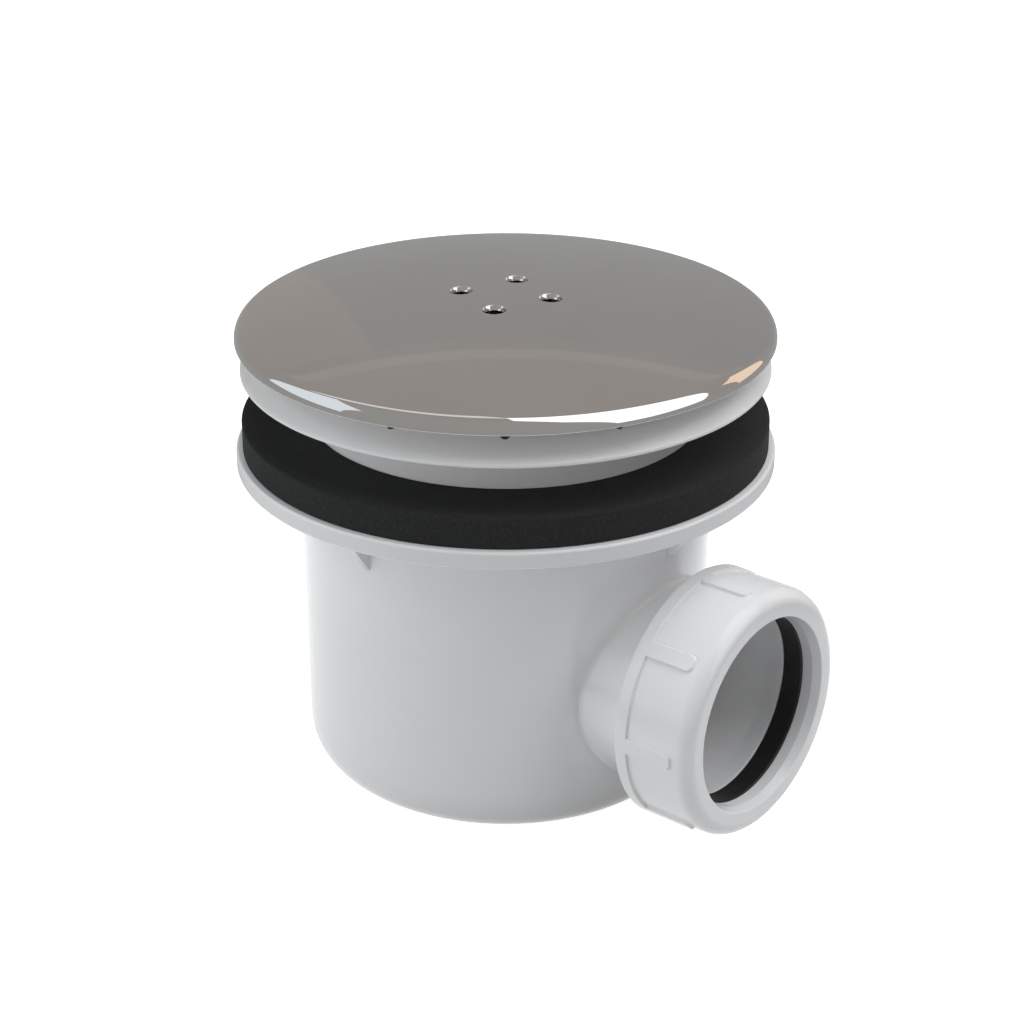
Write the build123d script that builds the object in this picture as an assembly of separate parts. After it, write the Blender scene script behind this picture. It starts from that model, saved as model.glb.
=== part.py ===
from build123d import *
from math import sqrt
import os

# Shower trap for a 90 mm tray hole, with a domed cover and a level 40 mm outlet.
# Millimetres, +Z up. The origin is the middle of the body's flat base, on the waste's axis, and the
# outlet leaves along +X.

# Clamp: the foot of the strainer's crown, above the tray, sets the reach of all that is stacked with it
crown_foot_radius = 55.6
flange_inset = 3.6  # how far the upper flange stays inside the crown's foot
lower_seal_margin = 0.1  # how far the seal stands out past the crown's foot
body_flange_margin = 1.4  # how far the body's flange stands out past the seal
cover_overhang = 0.9  # how far the cover stands out past the crown's foot
tray_gap = 10.55

# Body: a moulded cup with a clamping flange and four gussets under it
body_height = 73.85
body_wall = 2.3
body_floor = 2.6
body_draft = 0.6  # how much narrower the wall is at the base than at the flange
base_corner_radius = 10.1
body_flange_thickness = 3.8
body_edge_round = 0.6
gusset_count = 4
gusset_reach = 8.1
gusset_drop = 11.4
gusset_thickness = 1.3

# Lower seal: a foam-rubber ring on the body's flange
lower_seal_thickness = 6.5
lower_seal_round = 0.4

# Upper flange: clamps the tray from above, and its neck screws into the body
flange_edge = 2.0
flange_edge_round = 0.5
neck_radius = 41.2
neck_wall = 2.7
neck_length = 34.0
neck_root_round = 1.0
thread_clearance = 0.3

# Strainer: a sloping crown with water slots that covers the flange, on legs that plug into the neck
crown_foot_height = 0.7
crown_foot_round = 0.3
crown_height = 7.9
crown_wall = 1.9
strainer_ring_thickness = 2.0
strainer_ring_ledge = 1.7  # how far the ring reaches in past the legs
slot_count = 14
slot_width = 2.4
slot_share = 0.515  # how far down the slope a slot runs
strainer_turn = 1.3  # degrees
leg_count = 6
leg_width = 12.0
leg_thickness = 2.0
leg_length = 9.0
lip_inset = 1.5
lip_width = 1.3
lip_height = 1.5

# Cover: a shallow dome with a rounded rim and four holes
cover_rise = 5.43
cover_wall = 1.4
cover_rim_height = 2.77
cover_rim_round = 2.9
cover_edge_round = 0.25
cover_rim_drop = 0.8  # how far the rim hangs below the strainer's ring
crown_inset = 10.0
cover_rib_width = 1.8
cover_hole_count = 4
cover_hole_radius = 2.5
cover_hole_circle = 19.1
cover_hole_round = 0.25
cover_turn = 26.0  # degrees

# Inside: a funnel with a dip tube, its rubber ring, and the cup that holds the water
seat_depth = 14.9
seat_width = 2.2
seat_thickness = 2.0
funnel_rim_height = 5.0
funnel_rim_wall = 3.6
funnel_drop = 8.4
funnel_wall_height = 2.2
groove_depth = 2.1
groove_width = 2.7
dip_tube_radius = 20.1
dip_tube_wall = 1.6
dip_clearance = 7.6  # from the end of the tube to the cup's floor
grip_width = 4.0
grip_thickness = 3.0
fin_count = 3
fin_thickness = 2.0
fin_length = 34.0
fin_step_height = 4.0
fin_step_width = 3.1
cup_radius = 31.0
cup_draft = 1.0
cup_wall = 1.6
cup_floor = 1.8
cup_corner_radius = 4.0
overflow_gap = 14.0  # from the funnel's seat down to the cup's rim
locating_rib_width = 1.6
locating_rib_height = 2.8

# Outlet: a spigot on the body, a rubber ring and a union nut round a 40 mm pipe
outlet_height = 30.9
outlet_projection = 25.0  # from the body's wall to the nut's front face
pipe_radius = 20.0
pipe_clearance = 0.3
boss_radius = 21.2
waterway_radius = 18.9
barrel_wall = 3.1
barrel_flare = 2.0
barrel_shoulder = 0.5  # how far behind the nut the flare ends
socket_depth = 4.0
socket_taper = 9.0
boss_root_round = 1.2
nut_length = 17.9
nut_radius = 26.5
nut_thread_clearance = 0.3
nut_lip = 4.3
nut_mouth_chamfer = 0.8
nut_mouth_depth = 1.9
nut_front_round = 3.0
collar_length = 3.0
collar_height = 0.6
collar_round = 0.3
grip_rib_count = 8
grip_rib_width = 3.35
grip_rib_length = 10.8
grip_rib_corner = 1.2
grip_rib_turn = -2.0  # degrees, from upright
outlet_seal_length = 4.9
outlet_seal_bite = 0.15
outlet_seal_round = 0.6

# Room left round pieces that plug in or stand loose
fit_clearance = 0.3
ring_clearance = 0.05
overlap = 0.5  # how far joined shapes run into each other before they are fused

# Heights that follow from the stack
body_flange_underside = body_height - body_flange_thickness
lower_seal_top = body_height + lower_seal_thickness
flange_underside = lower_seal_top + tray_gap
flange_top = flange_underside + flange_edge
neck_end = flange_underside - neck_length
crown_top = flange_underside + crown_height
cover_edge = crown_top - cover_rim_drop
seat_height = flange_underside - seat_depth
cup_rim = seat_height - overflow_gap

# Radii that follow from the clamp and the fits
flange_radius = crown_foot_radius - flange_inset
lower_seal_radius = crown_foot_radius + lower_seal_margin
body_flange_radius = lower_seal_radius + body_flange_margin
cover_radius = crown_foot_radius + cover_overhang
mouth_radius = neck_radius + thread_clearance
wall_radius = mouth_radius + body_wall
base_radius = wall_radius - body_draft
neck_bore = neck_radius - neck_wall
plug_radius = neck_bore - fit_clearance
strainer_ring_bore = plug_radius - leg_thickness - strainer_ring_ledge
crown_top_radius = cover_radius - crown_inset
lip_radius = crown_top_radius - lip_inset
cover_rib_radius = lip_radius - lip_width - fit_clearance

# Places along the outlet's axis
nut_front = wall_radius + outlet_projection
nut_rear = nut_front - nut_length
nut_shoulder = nut_front - nut_lip
barrel_front = nut_shoulder - outlet_seal_length
socket_end = barrel_front - socket_depth
pipe_bore = pipe_radius + pipe_clearance
barrel_radius = pipe_bore + barrel_wall
nut_thread_radius = barrel_radius + nut_thread_clearance


def turned(corners, axis=Axis.Z):
    """Revolves a profile. Each corner is a radius, a place along the axis and a rounding."""
    places = [(r, z) for r, z, _ in corners]
    outline = FilletPolyline(*places, radius=[rounding for _, _, rounding in corners], close=True)
    solid = revolve(Plane.XZ * make_face(outline), Axis.Z)
    if axis == Axis.X:
        solid = Pos(0, 0, outlet_height) * Rot(0, 90, 0) * solid
    return solid


def tube(outer, inner, low, high, axis=Axis.Z):
    """A plain ring between two radii and two places along its axis."""
    return turned([(inner, low, 0), (outer, low, 0), (outer, high, 0), (inner, high, 0)], axis)


def rod(radius, low, high, axis=Axis.Z):
    """A plain round bar."""
    return turned([(0, low, 0), (radius, low, 0), (radius, high, 0), (0, high, 0)], axis)


def upright_web(corners, thickness):
    """A flat web in the XZ plane, centred on it."""
    face = Plane.XZ * make_face(Polyline(*corners, close=True))
    return extrude(face, thickness / 2, both=True)


def around(count, solid, start=0.0):
    """Copies of a solid spread evenly round the Z axis."""
    return [Rot(0, 0, start + k * 360 / count) * solid for k in range(count)]


def make_body():
    inner_corner = max(base_corner_radius - body_wall, body_edge_round)
    base_inner = base_radius - body_wall
    half_turn = Rot(0, 0, 180)  # takes the seam of the shell's skin away from the spigot
    shell = half_turn * turned([
        (0, 0, 0),
        (base_radius, 0, base_corner_radius),
        (wall_radius, body_flange_underside, 2 * body_edge_round),
        (body_flange_radius, body_flange_underside, body_edge_round),
        (body_flange_radius, body_height, body_edge_round),
        (0, body_height, 0),
    ])
    gusset = upright_web([
        (wall_radius - body_wall / 2, body_flange_underside - gusset_drop),
        (wall_radius, body_flange_underside - gusset_drop),
        (wall_radius + gusset_reach, body_flange_underside),
        (wall_radius + gusset_reach, body_flange_underside + overlap),
        (wall_radius - body_wall / 2, body_flange_underside + overlap),
    ], gusset_thickness)
    flare_end = nut_rear - barrel_shoulder
    flare_start = flare_end - barrel_flare
    spigot_root = base_inner - boss_radius
    spigot = turned([
        (0, spigot_root, 0),
        (boss_radius, spigot_root, 0),
        (boss_radius, flare_start, 0),
        (barrel_radius, flare_end, 0),
        (barrel_radius, barrel_front, body_edge_round),
        (0, barrel_front, 0),
    ], Axis.X)
    shell = shell + spigot
    root = [edge for edge in shell.edges()
            if wall_radius - body_wall - boss_radius < edge.center().X < flare_start
            and edge.bounding_box().size.Z > boss_radius
            and edge.geom_type not in (GeomType.CIRCLE, GeomType.LINE)]
    shell = fillet(root, boss_root_round) + around(gusset_count, gusset)
    cavity = turned([
        (0, body_floor, 0),
        (base_inner, body_floor, inner_corner),
        (mouth_radius, neck_end - fit_clearance, 0),
        (mouth_radius, body_height + overlap, 0),
        (0, body_height + overlap, 0),
    ])
    waterway = turned([
        (0, spigot_root, 0),
        (waterway_radius, spigot_root, 0),
        (waterway_radius, socket_end - socket_taper, 0),
        (pipe_bore, socket_end, 0),
        (pipe_bore, barrel_front + overlap, 0),
        (0, barrel_front + overlap, 0),
    ], Axis.X)
    cup_base = cup_radius - cup_draft
    rib_radius = cup_base + fit_clearance + locating_rib_width
    rib = tube(rib_radius, rib_radius - locating_rib_width, body_floor - overlap,
               body_floor + locating_rib_height)
    return shell - cavity - waterway + rib


def make_lower_seal():
    bore = neck_radius + ring_clearance
    return turned([
        (bore, body_height, 0),
        (lower_seal_radius, body_height, lower_seal_round),
        (lower_seal_radius, lower_seal_top, lower_seal_round),
        (bore, lower_seal_top, 0),
    ])


def make_upper_flange():
    seat_bore = neck_bore - seat_width
    return turned([
        (neck_radius, neck_end, flange_edge_round),
        (neck_radius, flange_underside, neck_root_round),
        (flange_radius, flange_underside, flange_edge_round),
        (flange_radius, flange_top, flange_edge_round),
        (neck_bore, flange_top, flange_edge_round),
        (neck_bore, seat_height, 0),
        (seat_bore, seat_height, 0),
        (seat_bore, seat_height - seat_thickness, 0),
        (neck_bore, seat_height - seat_thickness, 0),
        (neck_bore, neck_end, flange_edge_round),
    ])


def make_strainer():
    foot_top = flange_underside + crown_foot_height
    foot_bore = flange_radius + fit_clearance
    slope_run = crown_foot_radius - crown_top_radius
    slope_rise = crown_top - foot_top
    slope_length = sqrt(slope_run ** 2 + slope_rise ** 2)
    level_wall = crown_wall * slope_length / slope_rise
    ring_underside = crown_top - strainer_ring_thickness

    def inner_radius(height):
        return crown_foot_radius - level_wall - (height - foot_top) * slope_run / slope_rise

    crown = turned([
        (foot_bore, flange_underside, 0),
        (crown_foot_radius, flange_underside, crown_foot_round),
        (crown_foot_radius, foot_top, crown_foot_round),
        (crown_top_radius, crown_top, body_edge_round),
        (strainer_ring_bore, crown_top, 0),
        (strainer_ring_bore, ring_underside, 0),
        (inner_radius(ring_underside), ring_underside, 0),
        (inner_radius(flange_top), flange_top, 0),
        (foot_bore, flange_top, 0),
    ])
    lip = tube(lip_radius, lip_radius - lip_width, crown_top - overlap, crown_top + lip_height)
    leg_end = flange_top - leg_length
    leg_ring = tube(plug_radius, plug_radius - leg_thickness, leg_end, ring_underside + overlap)
    leg_block = Pos(plug_radius, 0, (leg_end + crown_top) / 2) * Box(
        plug_radius, leg_width, crown_top - leg_end)
    legs = [leg_ring & block for block in around(leg_count, leg_block, strainer_turn)]
    slot_tip = crown_top_radius + slot_share * slope_run
    slot_length = slot_tip - lip_radius
    slot = Pos((slot_tip + lip_radius) / 2, 0, flange_top) * extrude(
        SlotOverall(slot_length, slot_width), crown_height + overlap)
    return crown + lip + legs - around(slot_count, slot, strainer_turn)


def make_cover():
    dome_radius = (cover_radius ** 2 + cover_rise ** 2) / (2 * cover_rise)
    dome_edge = cover_edge + cover_rim_height
    crown_point = dome_edge + cover_rise
    dome_centre = crown_point - dome_radius

    def dome_height(r, depth):
        return dome_centre + sqrt((dome_radius - depth) ** 2 - r ** 2)

    def dome_arc(reach, depth):
        return ThreePointArc((0, dome_height(0, depth)), (reach / 2, dome_height(reach / 2, depth)),
                             (reach, dome_height(reach, depth)))

    inner_reach = cover_radius - cover_wall
    skirt = Polyline((cover_radius, dome_edge), (cover_radius, cover_edge), (inner_reach, cover_edge),
                     (inner_reach, dome_height(inner_reach, cover_wall)))
    middle = Line((0, dome_height(0, 0)), (0, dome_height(0, cover_wall)))
    face = make_face([dome_arc(cover_radius, 0), skirt, dome_arc(inner_reach, cover_wall), middle])
    corners = face.vertices()
    outer = corners.sort_by_distance((cover_radius, dome_edge))[0]
    inner = corners.sort_by_distance((inner_reach, dome_height(inner_reach, cover_wall)))[0]
    face = fillet(outer, cover_rim_round)
    inner = face.vertices().sort_by_distance(inner)[0]
    face = fillet(inner, max(cover_rim_round - cover_wall, body_edge_round))
    face = fillet(face.vertices().group_by(Axis.Y)[0], cover_edge_round)
    dome = revolve(Plane.XZ * face, Axis.Z)
    rib_top = dome_height(cover_rib_radius, cover_wall / 2)
    rib = tube(cover_rib_radius, cover_rib_radius - cover_rib_width, crown_top, rib_top)
    dome = dome + rib
    hole_place = cover_hole_circle / 2
    hole = Pos(hole_place, 0, dome_edge) * Cylinder(cover_hole_radius, 2 * (cover_rise + overlap))
    dome = dome - around(cover_hole_count, hole, cover_turn)
    mouths = [edge for edge in dome.edges()
              if edge.bounding_box().max.X ** 2 + edge.bounding_box().max.Y ** 2 < cover_hole_circle ** 2
              and edge.center().Z > dome_height(hole_place, cover_wall / 2)
              and edge.geom_type != GeomType.LINE]
    return fillet(mouths, cover_hole_round)


def make_dip_tube():
    seat_bore = neck_bore - seat_width - fit_clearance
    rim_top = seat_height + funnel_rim_height
    groove_middle = seat_height + funnel_rim_height / 2
    groove_low = groove_middle - groove_width / 2
    groove_high = groove_middle + groove_width / 2
    rim_inner = plug_radius - funnel_rim_wall
    tube_inner = dip_tube_radius - dip_tube_wall
    tube_end = body_floor + cup_floor + dip_clearance
    cone_end = seat_height - funnel_drop
    funnel = turned([
        (plug_radius, seat_height, 0),
        (plug_radius, groove_low, 0),
        (plug_radius - groove_depth, groove_low, 0),
        (plug_radius - groove_depth, groove_high, 0),
        (plug_radius, groove_high, 0),
        (plug_radius, rim_top, body_edge_round),
        (rim_inner, rim_top, body_edge_round),
        (rim_inner, seat_height + funnel_wall_height, 0),
        (tube_inner, cone_end + funnel_wall_height, 0),
        (tube_inner, tube_end, 0),
        (dip_tube_radius, tube_end, 0),
        (dip_tube_radius, cone_end, 0),
        (seat_bore, seat_height, 0),
    ])
    fin_reach = cup_radius - cup_draft - cup_wall - fit_clearance
    fin_root = dip_tube_radius - dip_tube_wall / 2
    fin = upright_web([
        (fin_root, cup_rim - fin_length),
        (dip_tube_radius, cup_rim - fin_length),
        (fin_reach, cup_rim - fin_length + fin_reach - dip_tube_radius),
        (fin_reach, cup_rim),
        (fin_reach + fin_step_width, cup_rim),
        (fin_reach + fin_step_width, cup_rim + fin_step_height),
        (fin_root, cone_end + overlap),
    ], fin_thickness)
    grip = Pos(0, 0, rim_top - grip_thickness / 2) * Box(2 * rim_inner + overlap, grip_width, grip_thickness)
    return funnel + around(fin_count, fin, 180 / fin_count) + grip


def make_dip_tube_ring():
    groove_floor = plug_radius - groove_depth
    middle = (groove_floor + neck_bore) / 2
    section = (neck_bore - groove_floor) / 2 - ring_clearance
    return Pos(0, 0, seat_height + funnel_rim_height / 2) * Torus(middle, section)


def make_seal_cup():
    base = cup_radius - cup_draft
    return turned([
        (0, body_floor, 0),
        (base, body_floor, cup_corner_radius),
        (cup_radius, cup_rim, 0),
        (cup_radius - cup_wall, cup_rim, 0),
        (base - cup_wall, body_floor + cup_floor, max(cup_corner_radius - cup_wall, body_edge_round)),
        (0, body_floor + cup_floor, 0),
    ])


def make_union_nut():
    collar_radius = nut_radius + collar_height
    collar_front = nut_rear + collar_length
    nut = turned([
        (nut_thread_radius, nut_rear, collar_round),
        (collar_radius, nut_rear, 2 * collar_round),
        (collar_radius, collar_front, collar_round),
        (nut_radius, collar_front, 0),
        (nut_radius, nut_front, nut_front_round),
        (pipe_bore + nut_mouth_chamfer, nut_front, collar_round),
        (pipe_bore, nut_front - nut_mouth_depth, 0),
        (pipe_bore, nut_shoulder, 0),
        (nut_thread_radius, nut_shoulder, 0),
    ], Axis.X)
    rib_length = grip_rib_length + overlap
    plan = RectangleRounded(rib_length, grip_rib_width, grip_rib_corner)
    prism = Pos(collar_front - overlap + rib_length / 2, 0, outlet_height) * extrude(plan, collar_radius)
    square_end = Pos(collar_front, 0, outlet_height) * extrude(
        Rectangle(2 * overlap, grip_rib_width), collar_radius)
    skin = tube(collar_radius, nut_radius - overlap, nut_rear + collar_round, nut_front - nut_front_round,
                Axis.X)
    rib = (prism + square_end) & skin
    spin = Axis((0, 0, outlet_height), (1, 0, 0))
    ribs = [rib.rotate(spin, -grip_rib_turn + k * 360 / grip_rib_count) for k in range(grip_rib_count)]
    return nut + ribs


def make_outlet_seal():
    inner = pipe_bore - outlet_seal_bite
    outer = nut_thread_radius - ring_clearance
    return turned([
        (inner, barrel_front, outlet_seal_round),
        (outer, barrel_front, 0),
        (outer, nut_shoulder, 0),
        (inner, nut_shoulder, outlet_seal_round),
    ], Axis.X)


pieces = {
    "body": make_body,
    "lower_seal": make_lower_seal,
    "upper_flange": make_upper_flange,
    "strainer": make_strainer,
    "cover": make_cover,
    "dip_tube": make_dip_tube,
    "dip_tube_ring": make_dip_tube_ring,
    "seal_cup": make_seal_cup,
    "union_nut": make_union_nut,
    "outlet_seal": make_outlet_seal,
}

os.makedirs("parts", exist_ok=True)
for name, make in pieces.items():
    solid = make()
    solid.label = name
    export_step(solid, f"parts/{name}.step")
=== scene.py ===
import math

import bmesh
import bpy
import numpy as np
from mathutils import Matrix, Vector


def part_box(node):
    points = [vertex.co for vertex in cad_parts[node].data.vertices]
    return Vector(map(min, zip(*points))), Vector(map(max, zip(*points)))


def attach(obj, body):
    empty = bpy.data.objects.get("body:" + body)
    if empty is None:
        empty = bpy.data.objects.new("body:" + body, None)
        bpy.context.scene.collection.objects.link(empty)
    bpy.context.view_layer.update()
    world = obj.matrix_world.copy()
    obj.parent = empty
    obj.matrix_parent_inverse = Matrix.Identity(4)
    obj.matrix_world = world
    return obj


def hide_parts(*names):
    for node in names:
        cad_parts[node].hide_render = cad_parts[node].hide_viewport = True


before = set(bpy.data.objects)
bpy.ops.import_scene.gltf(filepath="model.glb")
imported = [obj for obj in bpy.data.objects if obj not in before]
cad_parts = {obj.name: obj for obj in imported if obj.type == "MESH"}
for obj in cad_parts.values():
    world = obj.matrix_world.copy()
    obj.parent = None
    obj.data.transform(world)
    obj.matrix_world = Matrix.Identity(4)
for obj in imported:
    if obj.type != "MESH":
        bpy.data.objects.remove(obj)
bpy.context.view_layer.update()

mm = 0.001
print("frame loaded,", len(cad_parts), "nodes")


def span(node):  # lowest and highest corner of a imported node, in millimetres
    return [np.array(corner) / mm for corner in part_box(node)]


# Sizes that several pieces share, in millimetres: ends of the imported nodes, and two that no node ends at
bodyHigh = span("body")[1]
sealLow, sealHigh = span("lower_seal")
flangeLow, flangeHigh = span("upper_flange")
strainerLow, strainerHigh = span("strainer")
coverLow, coverHigh = span("cover")
nutLow, nutHigh = span("union_nut")
ringLow, ringHigh = span("outlet_seal")
outletHeight = (nutLow[2] + nutHigh[2]) / 2
neckRadius = 41.2
flangeEdge = 2.0


# Surfaces

def between(start, end, hold=0.12, stride=2.5):  # points inside a straight run, with one close to each end
    length = np.hypot(*(end - start))
    if length < 4 * hold:
        return np.empty((0, 2))
    steps = max(1, math.ceil((length - 2 * hold) / stride))
    reach = np.linspace(hold, length - hold, steps + 1) / length
    return start + reach[:, None] * (end - start)


def profile(corners, closed=False, arcStep=8.0, stride=2.5):
    # straight runs joined by tangent arcs; a corner is its radius, place along the axis and rounding
    spots = np.array([corner[:2] for corner in corners], float)
    turns = []
    for i, (_, _, rounding) in enumerate(corners):
        if not rounding:
            turns.append(spots[i:i + 1])
            continue
        back = spots[i - 1] - spots[i]
        ahead = spots[(i + 1) % len(spots)] - spots[i]
        back /= np.hypot(*back)
        ahead /= np.hypot(*ahead)
        half = math.acos(np.clip(back @ ahead, -1, 1)) / 2
        middle = (back + ahead) / np.hypot(*(back + ahead))
        centre = spots[i] + middle * rounding / math.sin(half)
        first = spots[i] + back * rounding / math.tan(half) - centre
        last = spots[i] + ahead * rounding / math.tan(half) - centre
        angle = math.pi - 2 * half
        share = np.linspace(0, 1, max(2, math.ceil(math.degrees(angle) / arcStep)) + 1)[:, None]
        swept = np.sin((1 - share) * angle) * first + np.sin(share * angle) * last
        turns.append(centre + swept / math.sin(angle))
    pieces = []
    for i, turn in enumerate(turns):
        pieces.append(turn)
        if closed or i + 1 < len(turns):
            pieces.append(between(turn[-1], turns[(i + 1) % len(turns)][0], stride=stride))
    return np.concatenate(pieces)


def circle(count, start=0.0):  # evenly spread angles in radians, from a start in degrees
    return np.radians(start) + np.arange(count) * 2 * math.pi / count


def upright(radius, angle, height):  # points round the waste's axis
    return np.stack(np.broadcast_arrays(radius * np.cos(angle), radius * np.sin(angle), height), -1)


def level(radius, angle, along):  # points round the outlet's axis, with angle 0 on top
    height = outletHeight + radius * np.cos(angle)
    return np.stack(np.broadcast_arrays(along, -radius * np.sin(angle), height), -1)


def patch(points, closeRows=False, closeCols=False, keep=None):
    # a grid of points, rows by columns, and its four-sided faces, of which a mask may keep some
    rows, cols = points.shape[:2]
    i = np.arange(rows if closeRows else rows - 1)[:, None]
    j = np.arange(cols if closeCols else cols - 1)[None, :]
    nextI = (i + 1) % rows
    nextJ = (j + 1) % cols
    corners = i * cols + j, i * cols + nextJ, nextI * cols + nextJ, nextI * cols + j
    faces = np.stack(np.broadcast_arrays(*corners), -1)
    if keep is not None:
        faces = faces[keep]
    return points.reshape(-1, 3), faces.reshape(-1, 4)


def turned(outline, angles, place=upright):  # an outline of radius and place along the axis, at each angle
    return place(outline[:, :1], angles, outline[:, 1:])


def lathe(outline, angles, place=upright, closed=True):  # the skin of a turned outline
    return patch(turned(outline, angles, place), closeRows=closed, closeCols=True)


def bar(sections):
    # a closed section carried along its stations, with its two ends drawn in to their middles
    caps = sections[[0, -1]].mean(1, keepdims=True)
    caps = np.broadcast_to(caps, (2,) + sections.shape[1:])
    return patch(np.concatenate([caps[:1], sections, caps[1:]]), closeCols=True)


def plate(outline, thickness, angle, bevel=0.2):
    # a flat outline of radius and height, given a thickness with eased edges, then turned to an angle
    middle = outline.mean(0)
    eased = middle + (outline - middle) * (1 - bevel / np.hypot(*(outline - middle).T).mean())
    half = thickness / 2
    stations = [(eased, -half), (outline, bevel - half), (outline, half - bevel), (eased, half)]
    flat = np.stack([np.column_stack([o[:, 0], np.full(len(o), y), o[:, 1]]) for o, y in stations])
    cos, sin = math.cos(angle), math.sin(angle)
    turn = np.array([[cos, sin, 0], [-sin, cos, 0], [0, 0, 1]])
    return bar(flat @ turn)


def newObject(name, data):  # an object at the origin, in the scene
    made = bpy.data.objects.new(name, data)
    bpy.context.scene.collection.objects.link(made)
    return made


def newMesh(name, points, faces, finish):  # an object with a mesh of one finish
    mesh = bpy.data.meshes.new(name)
    mesh.from_pydata(points, [], faces)
    mesh.materials.append(finish)
    return newObject(name, mesh)


def makePiece(name, patches, finish, node, weld=1e-6, crease=42.0):
    # joins the patches into one mesh, merges what meets within the weld and points the faces outwards
    starts = np.cumsum([0] + [len(points) for points, _ in patches[:-1]])
    points = np.concatenate([points for points, _ in patches]) * mm
    faces = np.concatenate([faces + start for (_, faces), start in zip(patches, starts)])
    piece = newMesh(name, points, faces, finish)
    mesh = piece.data
    work = bmesh.new()
    work.from_mesh(mesh)
    bmesh.ops.remove_doubles(work, verts=work.verts, dist=weld)
    bmesh.ops.recalc_face_normals(work, faces=work.faces)
    work.to_mesh(mesh)
    work.free()
    mesh.shade_smooth()
    mesh.set_sharp_from_angle(angle=math.radians(crease))
    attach(piece, "root")
    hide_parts(node)
    mesh.calc_loop_triangles()
    print(name, len(mesh.loop_triangles), "triangles")


# Finishes

class Wire:
    # a socket of a node tree: sums, differences and products of wires add Math nodes
    def __init__(self, tree, socket=None):
        self.tree = tree
        self.socket = socket

    def put(self, socket, value):  # a link from a wire, or else a set value
        if isinstance(value, Wire):
            self.tree.links.new(value.socket, socket)
        elif value is not None:
            socket.default_value = value

    def node(self, kind, inputs=None, settings=None, out=0):  # a new node, as the wire of one of its outputs
        made = self.tree.nodes.new(kind)
        for key, value in (settings or {}).items():  # first, since a setting can change the inputs
            setattr(made, key, value)
        for key, value in (inputs or {}).items():
            self.put(made.inputs[key], value)
        return None if out is None else Wire(self.tree, made.outputs[out])

    def maths(self, operation, first, second=None):  # one step of arithmetic
        return self.node("ShaderNodeMath", {0: first, 1: second}, {"operation": operation})

    def __add__(self, other):
        return self.maths("ADD", self, other)

    __radd__ = __add__

    def __sub__(self, other):
        return self.maths("SUBTRACT", self, other)

    def __rsub__(self, other):
        return self.maths("SUBTRACT", other, self)

    def __mul__(self, other):
        return self.maths("MULTIPLY", self, other)

    __rmul__ = __mul__

    def noise(self, spread, detail=3.0, roughness=0.55):  # soft noise, about 0 to 1
        return self.node("ShaderNodeTexNoise", {
            "Vector": self, "Scale": spread, "Detail": detail, "Roughness": roughness})

    def ramp(self, low, high):  # 0 below low, 1 above high
        return self.node("ShaderNodeMapRange", {"Value": self, "From Min": low, "From Max": high},
                         {"interpolation_type": "SMOOTHSTEP"})

    def blend(self, first, second):  # a colour between two, by this wire
        return self.node("ShaderNodeMix", {"Factor": self, 6: first, 7: second}, {"data_type": "RGBA"}, out=2)

    def bump(self, height, strength, distance):  # a normal tilted by a height
        return self.node("ShaderNodeBump", {"Height": height, "Strength": strength, "Distance": distance})

    def glow(self, colour, strength):  # a light of its own
        return self.node("ShaderNodeEmission", {"Color": colour, "Strength": strength})

    def surface(self, shader):  # ends the tree
        self.node("ShaderNodeOutputMaterial", {"Surface": shader}, out=None)


noiseMiddle = 0.5  # the noise's usual value


def newFinish(name):  # a material with its shader, a wire in its tree, and Object coordinates in metres
    material = bpy.data.materials.new(name)
    material.use_nodes = True
    shader = material.node_tree.nodes["Principled BSDF"]
    wire = Wire(material.node_tree)
    spot = wire.node("ShaderNodeTexCoord", out="Object")
    return material, shader, wire, spot


def moulding(name, look):  # soft clouds of tint and gloss, and a fine grain
    material, shader, wire, spot = newFinish(name)
    cloud = spot.noise(look["cloudSpread"])
    grain = spot.noise(look["grainSpread"], detail=look["grainDetail"])
    roughness = look["roughness"] + look["roughnessSwing"] * (cloud - noiseMiddle)
    wire.put(shader.inputs["Base Color"], cloud.ramp(*look["cloudEdges"]).blend(look["shade"], look["tint"]))
    wire.put(shader.inputs["Roughness"], roughness)
    wire.put(shader.inputs["Normal"], wire.bump(grain, look["grainStrength"], look["grainDepth"]))
    shader.inputs["Specular IOR Level"].default_value = look["gloss"]
    return material


def chromePlate(look):  # a mirror with a faint haze
    material, shader, wire, spot = newFinish("chromePlate")
    haze = spot.noise(look["hazeSpread"], detail=4.0)
    wire.put(shader.inputs["Base Color"], haze.ramp(*look["hazeEdges"]).blend(look["shade"], look["tint"]))
    wire.put(shader.inputs["Roughness"], look["roughness"] + look["roughnessSwing"] * haze)
    shader.inputs["Metallic"].default_value = 1.0
    return material


def foamRubber(look):  # fine pores, paler in patches
    material, shader, wire, spot = newFinish("foamRubber")
    pores = spot.noise(look["poreSpread"], detail=4.0, roughness=0.7)
    patches = spot.noise(look["patchSpread"])
    light = pores.ramp(*look["poreEdges"]) * (look["patchLow"] + look["patchSwing"] * patches)
    wire.put(shader.inputs["Base Color"], light.blend(look["dark"], look["pale"]))
    wire.put(shader.inputs["Roughness"], 1.0 - look["shine"] * pores)
    wire.put(shader.inputs["Normal"], wire.bump(pores, look["poreStrength"], look["poreDepth"]))
    shader.inputs["Specular IOR Level"].default_value = look["gloss"]
    return material


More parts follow.
